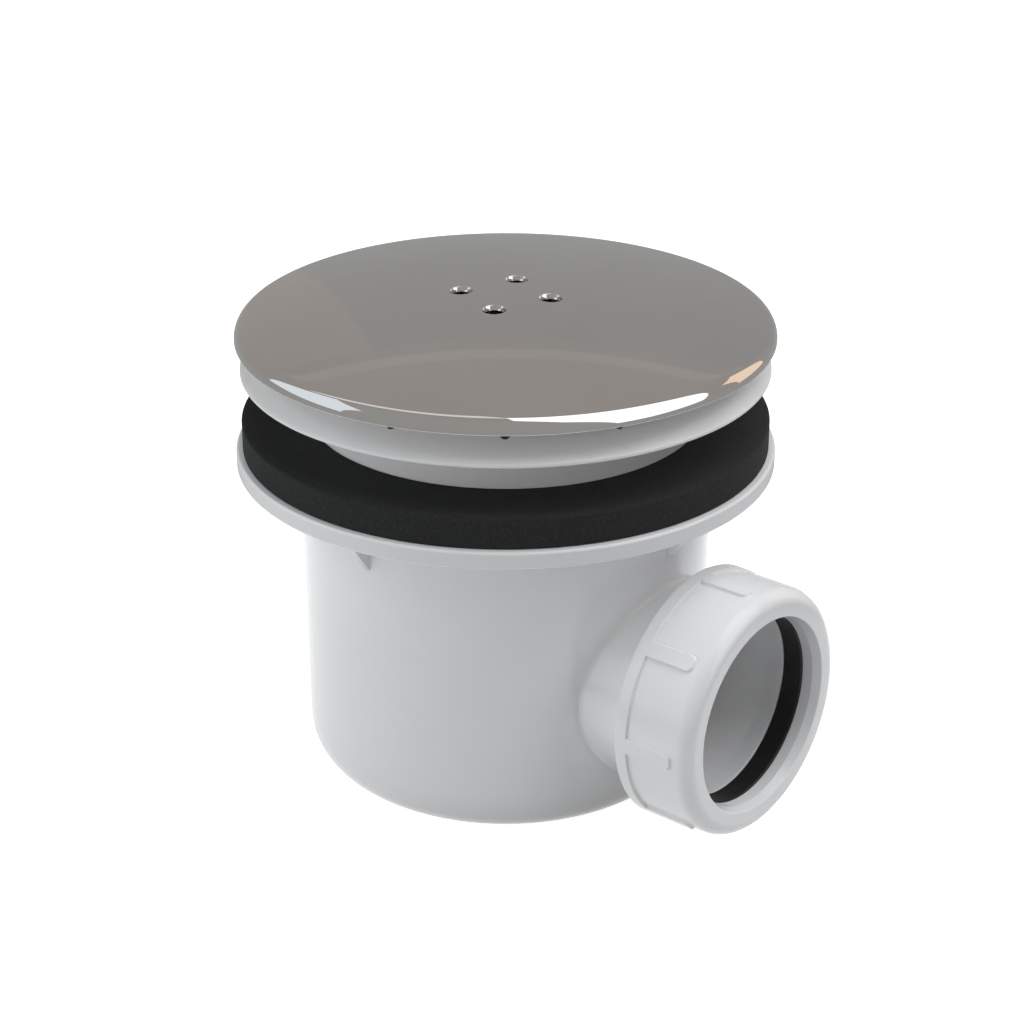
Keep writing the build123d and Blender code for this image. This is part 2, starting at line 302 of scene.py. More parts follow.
plasticFinish = moulding("whitePlastic", {
    "tint": (0.87, 0.87, 0.872, 1), "shade": (0.855, 0.855, 0.857, 1), "cloudSpread": 28.0,
    "cloudEdges": (0.3, 0.7), "roughness": 0.2, "roughnessSwing": 0.06, "gloss": 0.5,
    "grainSpread": 1400.0, "grainDetail": 2.0, "grainStrength": 0.03, "grainDepth": 0.0001,
})
chromeFinish = chromePlate({
    "tint": (0.63, 0.62, 0.61, 1), "shade": (0.61, 0.6, 0.59, 1), "hazeSpread": 35.0,
    "hazeEdges": (0.3, 0.7), "roughness": 0.03, "roughnessSwing": 0.02,
})
foamFinish = foamRubber({
    "dark": (0.024, 0.0245, 0.0245, 1), "pale": (0.046, 0.047, 0.047, 1), "poreSpread": 2400.0,
    "poreEdges": (0.42, 0.75), "patchSpread": 60.0, "patchLow": 0.55, "patchSwing": 0.45, "shine": 0.15,
    "gloss": 0.2, "poreStrength": 0.2, "poreDepth": 0.00012,
})
rubberFinish = moulding("blackRubber", {
    "tint": (0.011, 0.011, 0.011, 1), "shade": (0.006, 0.006, 0.006, 1), "cloudSpread": 90.0,
    "cloudEdges": (0.35, 0.75), "roughness": 0.5, "roughnessSwing": 0.1, "gloss": 0.35,
    "grainSpread": 1500.0, "grainDetail": 3.0, "grainStrength": 0.08, "grainDepth": 0.0001,
})
print("finishes made")


# Body: a turned cup whose wall opens into the spigot through a window in the grid

bodyForm = {
    "wall": 2.3, "floor": 2.6, "draft": 0.6, "cornerRound": 10.1, "flangeThickness": 3.8, "edgeRound": 0.6,
    "mouthClearance": 0.3, "mouthRound": 0.2, "neckRoom": 0.3,
    "ribInner": 30.3, "ribOuter": 31.9, "ribHeight": 2.8, "ribRound": 0.3, "ribRootRound": 0.2,
    "gussets": 4, "gussetReach": 8.1, "gussetDrop": 11.4, "gussetThickness": 1.3, "gussetSink": 0.5,
    "gussetToe": 0.1,
    "windowLow": 4.5, "windowHigh": 57.0, "innerLow": 10.9, "innerHigh": 54.5, "windowLevels": 30,
    "windowAngle": 44.0, "windowColumns": 45, "restColumns": 140,
    "boss": 21.2, "rootRound": 1.2, "rootSteps": 10, "apronSteps": 9, "apronEase": 1.6,
    "neckShares": (0.12, 0.3, 0.5, 0.7, 0.9), "flare": 2.0, "flareGap": 0.5, "flareLead": 0.6,
    "flareFoot": 0.2, "flareRound": 0.3, "barrelClearance": 0.25, "tipRound": 0.6,
    "socketRadius": 20.3, "socketDepth": 4.0, "socketRound": 0.3, "socketTaper": 9.0, "taperRound": 6.0,
    "waterway": 18.9, "wayLead": 1.0, "wayShares": (0.5, 0.1), "liningSteps": 7, "liningEase": 1.5,
}


def makeBody(form):
    # the cup's outline turned round the axis, with the window's edge drawn on to the spigot's rings
    top = bodyHigh[2]
    flangeRadius = bodyHigh[1]
    flangeUnder = top - form["flangeThickness"]
    mouth = neckRadius + form["mouthClearance"]
    wallRadius = mouth + form["wall"]
    baseRadius = wallRadius - form["draft"]
    baseInner = baseRadius - form["wall"]
    edgeRound = form["edgeRound"]
    seam = (flangeRadius + mouth) / 2, top, 0
    outer = [
        (0, 0, 0), (baseRadius, 0, form["cornerRound"]), (wallRadius, flangeUnder, 2 * edgeRound),
        (flangeRadius, flangeUnder, edgeRound), (flangeRadius, top, edgeRound), seam,
    ]
    floor = form["floor"]
    ribTop = floor + form["ribHeight"]
    inner = [
        seam, (mouth, top, form["mouthRound"]), (mouth, flangeLow[2] - form["neckRoom"], 0),
        (baseInner, floor, form["cornerRound"] - form["wall"]),
        (form["ribOuter"], floor, form["ribRootRound"]), (form["ribOuter"], ribTop, form["ribRound"]),
        (form["ribInner"], ribTop, form["ribRound"]), (form["ribInner"], floor, form["ribRootRound"]),
        (0, floor, 0),
    ]

    def nearWall(line, low, high, spare, depth):  # which points of an outline lie on the wall's part
        return (line[:, 1] > low - spare) & (line[:, 1] < high + spare) & (line[:, 0] > baseInner - depth)

    def wallTable(corners, low, high):  # the wall's radius by height, from a finely stepped outline
        fine = profile(corners, arcStep=0.5, stride=0.5)
        fine = fine[nearWall(fine, low, high, spare=3.0, depth=3.0)]
        fine = fine[np.argsort(fine[:, 1])]
        return lambda height: np.interp(height, fine[:, 1], fine[:, 0])

    outerWall = wallTable(outer, form["windowLow"], form["windowHigh"])
    innerWall = wallTable(inner, form["innerLow"], form["innerHigh"])
    count = form["windowLevels"]
    outerLevels = np.linspace(form["windowLow"], form["windowHigh"], count)
    innerLevels = np.linspace(form["innerHigh"], form["innerLow"], count)

    def opened(corners, levels, wall):  # the outline with its wall stepped at the window's levels
        line = profile(corners)
        low, high = sorted((levels[0], levels[-1]))
        inside = np.flatnonzero(nearWall(line, low, high, spare=0.3, depth=6.0))
        rows = np.column_stack([wall(levels), levels])
        return np.concatenate([line[:inside[0]], rows, line[inside[-1] + 1:]]), inside[0]

    outerLine, outerStart = opened(outer, outerLevels, outerWall)
    innerLine, innerStart = opened(inner, innerLevels, innerWall)
    innerStart += len(outerLine) - 1
    line = np.concatenate([outerLine, innerLine[1:]])
    half = math.radians(form["windowAngle"])
    windowAngles = np.linspace(-half, half, form["windowColumns"])
    restAngles = np.linspace(half, 2 * math.pi - half, form["restColumns"] + 2)[1:-1]
    angles = np.concatenate([windowAngles, restAngles])
    keep = np.ones((len(line) - 1, len(angles)), bool)
    for start in (outerStart, innerStart):
        keep[start:start + count - 1, :form["windowColumns"] - 1] = False
    skin = patch(turned(line, angles), closeCols=True, keep=keep)

    # the window's edge, once round: along its foot, up one side, back along its head and down the other side
    across = np.arange(form["windowColumns"])
    upwards = np.arange(count)
    edgeCol = np.concatenate([
        across, np.full(count - 1, across[-1]), across[-2::-1], np.zeros(count - 2, int)])
    edgeRow = np.concatenate([
        np.zeros(len(across), int), upwards[1:], np.full(len(across) - 1, count - 1), upwards[-2:0:-1]])
    edgeAngle = windowAngles[edgeCol]
    outerEdge = outerLevels[edgeRow]
    innerEdge = innerLevels[::-1][edgeRow]
    # the edge's angle round the outlet, 0 on top and towards +Y
    turn = np.arctan2(edgeAngle * wallRadius, outerEdge - outletHeight)

    def ring(radius, along):  # points round the outlet, one for each point of the window's edge
        return level(radius, -turn, along)

    def onWall(wall, angle, height):  # points on the wall at an angle and a height
        return upright(wall(height), angle, height)

    # the root: a ball of the rounding's radius rolled along both the wall and the spigot
    boss = form["boss"]
    ball = form["rootRound"]
    ballY = (boss + ball) * np.sin(turn)
    ballZ = outletHeight + (boss + ball) * np.cos(turn)
    ballX = np.sqrt((outerWall(ballZ) + ball) ** 2 - ballY ** 2)
    centre = np.stack([ballX, ballY, ballZ], -1)
    footAngle = np.arctan2(ballY, ballX)
    foot = onWall(outerWall, footAngle, ballZ)
    toWall = (foot - centre) / np.linalg.norm(foot - centre, axis=-1, keepdims=True)
    toBoss = (ring(boss, ballX) - centre) / ball
    opening = np.arccos(np.clip((toWall * toBoss).sum(-1), -1, 1))[:, None]
    share = np.linspace(0, 1, form["rootSteps"])[:, None, None]
    swept = np.sin((1 - share) * opening) * toWall + np.sin(share * opening) * toBoss
    root = centre + ball * swept / np.sin(opening)

    # the apron: the wall between the window's edge and the root
    ease = 1 - (1 - np.linspace(0, 1, form["apronSteps"])[:-1, None]) ** form["apronEase"]
    apronAngle = edgeAngle + ease * (footAngle - edgeAngle)
    apron = onWall(outerWall, apronAngle, outerEdge + ease * (ballZ - outerEdge))

    # the spigot outside and inside, from the root round its front end and back to the inner wall
    rear = nutLow[0] - form["flareGap"] - form["flare"]
    neck = ring(boss, ballX + np.array(form["neckShares"])[:, None] * (rear - ballX))
    front = ringLow[0]
    barrel = ringHigh[1] - form["barrelClearance"]
    shoulder = front - form["socketDepth"]
    socket = form["socketRadius"]
    way = form["waterway"]
    wayEnd = baseInner + form["wayLead"]
    tip = profile([
        (boss, rear - form["flareLead"], 0), (boss, rear, form["flareFoot"]),
        (barrel, rear + form["flare"], form["flareRound"]), (barrel, front, form["tipRound"]),
        (socket, front, form["socketRound"]), (socket, shoulder, form["taperRound"]),
        (way, shoulder - form["socketTaper"], form["taperRound"]), (way, wayEnd, 0),
    ])
    tip = ring(tip[:, :1], tip[:, 1:])
    wayZ = outletHeight + way * np.cos(turn)
    wayY = way * np.sin(turn)
    wayX = np.sqrt(innerWall(wayZ) ** 2 - wayY ** 2)
    wayAngle = np.arctan2(wayY, wayX)
    inwards = ring(way, wayX + np.array(form["wayShares"])[:, None] * (wayEnd - wayX))
    spread = np.linspace(0, 1, form["liningSteps"])[:, None] ** form["liningEase"]
    liningAngle = wayAngle + spread * (edgeAngle - wayAngle)
    lining = onWall(innerWall, liningAngle, wayZ + spread * (innerEdge - wayZ))
    spigot = patch(np.concatenate([apron, root, neck, tip, inwards, lining]), closeCols=True)

    webFoot = flangeUnder - form["gussetDrop"]
    webRoot = wallRadius - form["wall"] / 2
    webEdge = wallRadius + form["gussetReach"]
    sink = form["gussetSink"]
    web = np.array([(webRoot, webFoot - sink), (wallRadius - form["gussetToe"], webFoot),
                    (webEdge, flangeUnder), (webEdge, flangeUnder + sink), (webRoot, flangeUnder + sink)])
    webs = [plate(web, form["gussetThickness"], angle) for angle in circle(form["gussets"])]
    makePiece("bodyShell", [skin, spigot] + webs, plasticFinish, "body")


makeBody(bodyForm)


# Lower seal: a flat foam ring with soft edges

sealForm = {"bore": 41.25, "edgeRound": 0.5, "boreRound": 0.2, "stride": 1.2, "columns": 240}


def softRing(form, outer, low, high, place=upright):  # a four-cornered outline turned round an axis
    bore, boreRound, edgeRound = form["bore"], form["boreRound"], form["edgeRound"]
    outline = profile([
        (bore, low, boreRound), (outer, low, edgeRound), (outer, high, edgeRound), (bore, high, boreRound),
    ], closed=True, stride=form["stride"])
    return lathe(outline, circle(form["columns"]), place)


foamRing = softRing(sealForm, sealHigh[0], sealLow[2], sealHigh[2])
makePiece("foamSeal", [foamRing], foamFinish, "lower_seal")


# Upper flange: the disc above the tray, its neck and the ledge that carries the funnel

flangeForm = {"neckWall": 2.7, "edgeRound": 0.5, "rootRound": 1.0, "ledgeDepth": 14.9,
              "ledgeWidth": 2.2, "ledgeThickness": 2.0, "ledgeRound": 0.2, "columns": 240}


def makeFlange(form):  # one closed outline turned round the axis
    top = flangeHigh[2]
    under = top - flangeEdge
    bore = neckRadius - form["neckWall"]
    ledge = under - form["ledgeDepth"]
    ledgeBore = bore - form["ledgeWidth"]
    ledgeUnder = ledge - form["ledgeThickness"]
    edgeRound, ledgeRound = form["edgeRound"], form["ledgeRound"]
    outline = profile([
        (neckRadius, flangeLow[2], edgeRound), (neckRadius, under, form["rootRound"]),
        (flangeHigh[0], under, edgeRound), (flangeHigh[0], top, edgeRound), (bore, top, edgeRound),
        (bore, ledge, ledgeRound), (ledgeBore, ledge, ledgeRound), (ledgeBore, ledgeUnder, ledgeRound),
        (bore, ledgeUnder, ledgeRound), (bore, flangeLow[2], edgeRound),
    ], closed=True)
    disc = lathe(outline, circle(form["columns"]))
    makePiece("clampFlange", [disc], plasticFinish, "upper_flange")


makeFlange(flangeForm)


# Strainer: each land between two slots is a grid whose sides give way to the slots

strainerForm = {
    "slots": 14, "slotWidth": 2.4, "slotShare": 0.515, "slotSteps": 14, "slotEndSteps": 8, "turn": 1.3,
    "footHeight": 0.7, "footRound": 0.3, "footClearance": 0.3, "footBoreRound": 0.15, "rebateRound": 0.1,
    "wall": 1.9, "ring": 2.0, "ringBore": 34.5, "ringLines": (38.0, 41.0), "edgeHold": 0.2, "slotHold": 0.4,
    "topRadius": 46.5, "topRound": 0.6, "skirtLead": 0.3, "landColumns": 13,
    "lipInset": 1.5, "lipWidth": 1.3, "lipHeight": 1.5, "lipRound": 0.3, "lipColumns": 180, "sink": 0.5,
    "legs": 6, "legWidth": 12.0, "legThickness": 2.0, "legRadius": 38.2, "legRound": 0.3, "legColumns": 9,
}


def makeStrainer(form):
    # the lands' closed outline at angles drawn in beside a slot, then the slots' sides, the lip and the legs
    foot = strainerHigh[0]
    base = flangeHigh[2]
    crown = strainerHigh[2] - form["lipHeight"]
    low = base - flangeEdge
    footTop = low + form["footHeight"]
    footBore = flangeHigh[0] + form["footClearance"]
    ringBore, topRadius = form["ringBore"], form["topRadius"]
    run = foot - topRadius
    rise = crown - footTop
    slope = run / rise
    levelWall = form["wall"] * math.hypot(run, rise) / rise
    under = crown - form["ring"]

    def innerRadius(height):  # of the crown's inner slope, which runs level with the outer one
        return foot - levelWall - (height - footTop) * slope

    lipRadius = topRadius - form["lipInset"]
    slotTip = topRadius + form["slotShare"] * run
    halfSlot = form["slotWidth"] / 2
    slotFrom = lipRadius + halfSlot
    slotTo = slotTip - halfSlot
    ends = halfSlot * np.sin(np.linspace(0, math.pi / 2, form["slotEndSteps"]))
    straight = np.linspace(slotFrom, slotTo, form["slotSteps"])[1:-1]
    slotRadii = np.concatenate([slotFrom - ends[::-1], straight, slotTo + ends])

    fineTop = profile([
        (ringBore, crown, 0), (topRadius, crown, form["topRound"]), (foot, footTop, 0)], arcStep=2.0)
    fineUnder = np.array([
        (ringBore, under), (innerRadius(under), under), (innerRadius(base), base), (footBore, base)])

    def topHeight(radius):  # of the ring and the outer slope
        return np.interp(radius, fineTop[:, 0], fineTop[:, 1])

    def underHeight(radius):  # of the ring's underside and the inner slope
        return np.interp(radius, fineUnder[:, 0], fineUnder[:, 1])

    def halfWidth(radius):  # of the slot at a radius: straight sides with round ends
        past = np.maximum(np.maximum(slotFrom - radius, radius - slotTo), 0)
        return np.sqrt(np.maximum(halfSlot ** 2 - past ** 2, 0))

    hold = form["edgeHold"]
    ringRadii = np.array([ringBore, ringBore + hold, *form["ringLines"], lipRadius - form["slotHold"]])
    topRadii = np.concatenate([ringRadii, slotRadii])
    underRadii = np.concatenate([slotRadii[::-1], ringRadii[::-1]])
    skirtTop = slotTip + form["skirtLead"]
    skirt = profile([
        (skirtTop, topHeight(skirtTop), 0), (foot, footTop, form["footRound"]),
        (foot, low, form["footRound"]), (footBore, low, form["footBoreRound"]),
        (footBore, base, form["rebateRound"]), (skirtTop, base, 0),
    ])
    outline = np.concatenate([
        np.column_stack([topRadii, topHeight(topRadii)]), skirt,
        np.column_stack([underRadii, underHeight(underRadii)]),
        [(ringBore, under + hold), (ringBore, crown - hold)],
    ])
    pitch = 2 * math.pi / form["slots"]
    share = (1 - np.cos(np.linspace(0, math.pi, form["landColumns"]))) / 2
    gap = np.arcsin(halfWidth(outline[:, 0]) / outline[:, 0])[:, None]
    landAngle = gap + share * (pitch - 2 * gap)
    sideGap = np.arcsin(halfWidth(slotRadii) / slotRadii)[:, None]
    sideHeight = np.column_stack([topHeight(slotRadii), underHeight(slotRadii)])
    patches = []
    for start in circle(form["slots"], form["turn"]):
        patches.append(patch(turned(outline, start + landAngle), closeRows=True))
        for side in (start + sideGap, start - sideGap):
            patches.append(patch(upright(slotRadii[:, None], side, sideHeight)))
    lipFoot, lipTop = crown - form["sink"], crown + form["lipHeight"]
    lipInner = lipRadius - form["lipWidth"]
    lip = profile([(lipRadius, lipFoot, 0), (lipRadius, lipTop, form["lipRound"]),
                   (lipInner, lipTop, form["lipRound"]), (lipInner, lipFoot, 0)], closed=True)
    patches.append(lathe(lip, circle(form["lipColumns"])))
    legRadius = form["legRadius"]
    legInner = legRadius - form["legThickness"]
    legFoot, legTop, legRound = strainerLow[2], under + form["sink"], form["legRound"]
    leg = profile([(legInner, legFoot, legRound), (legRadius, legFoot, legRound), (legRadius, legTop, 0),
                   (legInner, legTop, 0)], closed=True)
    halfLeg = math.asin(form["legWidth"] / 2 / legRadius)
    sweep = np.linspace(-halfLeg, halfLeg, form["legColumns"])[:, None]
    for start in circle(form["legs"], form["turn"]):
        patches.append(bar(upright(leg[:, 0][None], start + sweep, leg[:, 1][None])))
    makePiece("strainerCrown", patches, plasticFinish, "strainer")


makeStrainer(strainerForm)


# Cover: four quarter patches, each round its own hole, and a turned skin from there to the underside

coverForm = {
    "rise": 5.43, "wall": 1.4, "rimRound": 2.9, "rimSteps": 18, "edgeRound": 0.15, "domeSteps": 22,
    "ribRadius": 43.4, "ribWidth": 1.8, "ribDrop": 1.5, "ribRound": 0.3, "outerSteps": 6, "innerSteps": 9,
    "holes": 4, "holeCircle": 19.1, "holeRadius": 2.45, "holeLow": 2.15, "holeTaper": 1.05,
    "holeRound": 0.15, "holeHold": 0.05, "holeSteps": 9, "turn": 26.0,
    "hub": 22.0, "hubColumns": 61, "hubSteps": 13, "hubEase": 1.5, "spokes": 18,
}


def makeCover(form):
    # a dome is a sphere's cap, and its rim a smaller arc that meets the dome without a bend
    radius, crown, edge = coverHigh[0], coverHigh[2], coverLow[2]
    wall, hub, rimRound = form["wall"], form["hub"], form["rimRound"]
    dome = (radius ** 2 + form["rise"] ** 2) / (2 * form["rise"])
    domeCentre = crown - dome

    def height(r, depth=0.0):  # of the dome, or of a dome that lies deeper by a wall
        return domeCentre + np.sqrt((dome - depth) ** 2 - r ** 2)

    rimCentre = radius - rimRound
    rimHeight = height(rimCentre, rimRound)
    lean = math.atan2(rimHeight - domeCentre, rimCentre)
    bend = np.linspace(lean, 0, form["rimSteps"])

    def rim(rounding, angles):  # an arc about the rim's centre
        return np.column_stack([rimCentre + rounding * np.cos(angles), rimHeight + rounding * np.sin(angles)])

    def shell(start, end, count, depth=0.0):  # a run of the dome's outline between two radii
        r = np.linspace(start, end, count)
        return np.column_stack([r, height(r, depth)])

    innerRound = rimRound - wall
    skirt = profile([(radius, rimHeight, 0), (radius, edge, form["edgeRound"]),
                     (radius - wall, edge, form["edgeRound"]), (radius - wall, rimHeight, 0)])
    ribOuter, ribInner = form["ribRadius"], form["ribRadius"] - form["ribWidth"]
    ribEnd = strainerHigh[2] - form["ribDrop"]
    rib = profile([(ribOuter, height(ribOuter, wall), 0), (ribOuter, ribEnd, form["ribRound"]),
                   (ribInner, ribEnd, form["ribRound"]), (ribInner, height(ribInner, wall), 0)])
    outline = np.concatenate([
        shell(hub, rimCentre + rimRound * math.cos(lean), form["domeSteps"])[:-1], rim(rimRound, bend),
        skirt[1:-1], rim(innerRound, bend[::-1]),
        shell(rimCentre + innerRound * math.cos(lean), ribOuter, form["outerSteps"], wall)[1:-1], rib,
        shell(ribInner, hub, form["innerSteps"], wall)[1:],
    ])
    quarter = 2 * math.pi / form["holes"]
    arc = np.linspace(-quarter / 2, quarter / 2, form["hubColumns"])
    starts = circle(form["holes"], form["turn"])
    columns = np.concatenate([start + arc[:-1] for start in starts])
    patches = [lathe(outline, columns, closed=False)]

    # rays from the hole's middle to the quarter's border
    spoke = np.linspace(0, hub, form["spokes"] + 1)[:-1]
    side = np.column_stack([np.cos(quarter / 2) * spoke, np.sin(quarter / 2) * spoke])
    hubArc = hub * np.column_stack([np.cos(arc), np.sin(arc)])
    border = np.concatenate([side * (1, -1), hubArc, side[:0:-1]])
    holeCentre = np.array([form["holeCircle"] / 2, 0])
    out = border - holeCentre
    far = np.hypot(*out.T)
    ray = out / far[:, None]

    # rows along the rays: the underside inwards, up the tapered wall, over the rounded edge, the top outwards
    holeRadius, holeLow, holeRound = form["holeRadius"], form["holeLow"], form["holeRound"]
    taper, hold = form["holeTaper"], form["holeHold"]
    mouth = holeRadius + holeRound
    ease = np.linspace(0, 1, form["hubSteps"])[:, None] ** form["hubEase"]
    topReach = mouth + ease * (far - mouth)
    lowReach = holeLow + ease[::2] * (far - holeLow)
    bevel = np.linspace(math.pi / 2, 0, form["holeSteps"])[:-1, None]
    bevelReach = np.broadcast_to(mouth - holeRound * np.sin(bevel), (len(bevel), len(far)))
    holeSlope = (holeRadius - holeLow) / (taper - holeRound)
    wallRadii = holeLow, holeLow, holeLow + hold * holeSlope, holeRadius - hold * holeSlope
    wallDepths = np.array([wall - 2 * hold, taper + hold, taper - hold, holeRound + hold])
    wallReach = np.repeat(wallRadii, len(far)).reshape(len(wallRadii), -1)
    reach = np.concatenate([lowReach[::-1], wallReach, bevelReach, topReach])
    plan = holeCentre + reach[..., None] * ray
    r = np.hypot(plan[..., 0], plan[..., 1])
    firstWall = len(lowReach)
    firstBevel = firstWall + len(wallRadii)
    z = height(r)
    z[:firstWall] = height(r[:firstWall], wall)
    z[firstWall:firstBevel] -= wallDepths[:, None]
    z[firstBevel:firstBevel + len(bevel)] -= holeRound * (1 - np.cos(bevel))
    angle = np.arctan2(plan[..., 1], plan[..., 0])
    for start in starts:
        patches.append(patch(upright(r, start + angle, z), closeCols=True))
    makePiece("chromeCover", patches, chromeFinish, "cover")


makeCover(coverForm)


# Dip tube: a funnel with a grooved rim, its tube, three fins and a grip bar

tubeForm = {
    "rimHeight": 5.0, "rimWall": 3.6, "rimRound": 0.5, "edgeRound": 0.3, "drop": 8.4, "wallHeight": 2.2,
    "grooveDepth": 2.1, "grooveWidth": 2.7, "grooveRound": 0.1, "seatRound": 0.2, "coneRound": 1.0,
    "throatRound": 1.5, "tube": 20.1, "tubeWall": 1.6, "ledgeClearance": 2.5,
    "fins": 3, "finThickness": 2.0, "finReach": 28.1, "finStep": 3.1, "finStepHeight": 4.0,
    "finLength": 34.0, "finSink": 0.5, "overflow": 14.0,
    "gripWidth": 4.0, "gripThickness": 3.0, "gripSink": 0.25, "gripBevel": 0.4, "columns": 160,
}


def makeDipTube(form):  # one closed outline turned round the axis, with plates for the fins and the grip
    low, high = span("dip_tube")
    plug = high[0]
    rimTop = high[2]
    seat = rimTop - form["rimHeight"]
    groove = seat + form["rimHeight"] / 2
    grooveRadius = plug - form["grooveDepth"]
    half = form["grooveWidth"] / 2
    rimInner = plug - form["rimWall"]
    tube = form["tube"]
    bore = tube - form["tubeWall"]
    coneEnd = seat - form["drop"]
    grooveRound, edgeRound = form["grooveRound"], form["edgeRound"]
    outline = profile([
        (plug, seat, form["seatRound"]), (plug, groove - half, grooveRound),
        (grooveRadius, groove - half, grooveRound), (grooveRadius, groove + half, grooveRound),
        (plug, groove + half, grooveRound), (plug, rimTop, edgeRound), (rimInner, rimTop, form["rimRound"]),
        (rimInner, seat + form["wallHeight"], form["coneRound"]),
        (bore, coneEnd + form["wallHeight"], form["throatRound"]), (bore, low[2], edgeRound),
        (tube, low[2], edgeRound), (tube, coneEnd, form["coneRound"]),
        (plug - form["ledgeClearance"], seat, form["seatRound"]),
    ], closed=True)
    cupRim = seat - form["overflow"]
    reach, root = form["finReach"], tube - form["tubeWall"] / 2
    finFoot = cupRim - form["finLength"]
    stepReach, stepTop = reach + form["finStep"], cupRim + form["finStepHeight"]
    fin = np.array([(root, finFoot), (tube, finFoot), (reach, finFoot + reach - tube), (reach, cupRim),
                    (stepReach, cupRim), (stepReach, stepTop), (root, coneEnd + form["finSink"])])
    patches = [lathe(outline, circle(form["columns"]))]
    for angle in circle(form["fins"], 180 / form["fins"]):
        patches.append(plate(fin, form["finThickness"], angle))
    gripEnd = rimInner + form["gripSink"]
    gripUnder = rimTop - form["gripThickness"]
    grip = np.array([(-gripEnd, gripUnder), (gripEnd, gripUnder), (gripEnd, rimTop), (-gripEnd, rimTop)])
    patches.append(plate(grip, form["gripWidth"], 0.0, bevel=form["gripBevel"]))
    makePiece("dipTube", patches, plasticFinish, "dip_tube")


tubeRingForm = {"columns": 160, "steps": 28}


def makeDipTubeRing(form):  # a plain round ring: a circle carried round the axis
    low, high = span("dip_tube_ring")
    section = (high[2] - low[2]) / 2
    turn = circle(form["steps"])
    outline = np.column_stack([
        high[0] - section + section * np.cos(turn), (low[2] + high[2]) / 2 + section * np.sin(turn)])
    ring = lathe(outline, circle(form["columns"]))
    makePiece("dipTubeRing", [ring], rubberFinish, "dip_tube_ring")


cupForm = {"draft": 1.0, "wall": 1.6, "floor": 1.8, "cornerRound": 4.0, "rimRound": 0.4, "columns": 160}


def makeCup(form):  # an outline from the base's middle over the rim to the floor's middle, turned
    low, high = span("seal_cup")
    base = high[0] - form["draft"]
    wall, rimRound, cornerRound = form["wall"], form["rimRound"], form["cornerRound"]
    floor = low[2] + form["floor"]
    outline = profile([
        (0, low[2], 0), (base, low[2], cornerRound), (high[0], high[2], rimRound),
        (high[0] - wall, high[2], rimRound), (base - wall, floor, cornerRound - wall), (0, floor, 0),
    ])
    cup = lathe(outline, circle(form["columns"]), closed=False)
    makePiece("waterCup", [cup], plasticFinish, "seal_cup")


makeDipTube(tubeForm)
makeDipTubeRing(tubeRingForm)
makeCup(cupForm)


# Union nut: a turned skin raised by its collar and its ribs

nutForm = {
    "panel": 26.5, "raise": 0.6, "bore": 20.3, "thread": 23.7, "threadRound": 0.15, "lip": 4.3,
    "mouthChamfer": 0.8, "mouthDepth": 1.9, "mouthRound": 0.4, "frontRound": 3.0, "edgeRound": 0.3,
    "collar": 3.0, "collarLead": 1.2, "collarLines": (1.6, 2.2), "seatOverlap": 0.3,
    "ribs": 8, "ribWidth": 3.35, "ribLength": 10.8, "ribCorner": 1.2, "ribLead": 0.8, "turn": 2.0,
    "wallSlope": 0.13, "slopeReach": 1.6, "slopeSteps": 9,
    # where rows and columns of the grid begin and end, by their distance from an edge, and how many they are
    "ribRows": (0.4, 1.5, 10), "tipRows": (0.1, 0.25, 10), "lastRow": 0.5, "cornerColumns": (0.3, 6),
    "panelColumns": (0.5, 8), "middleColumn": 0.24,
}


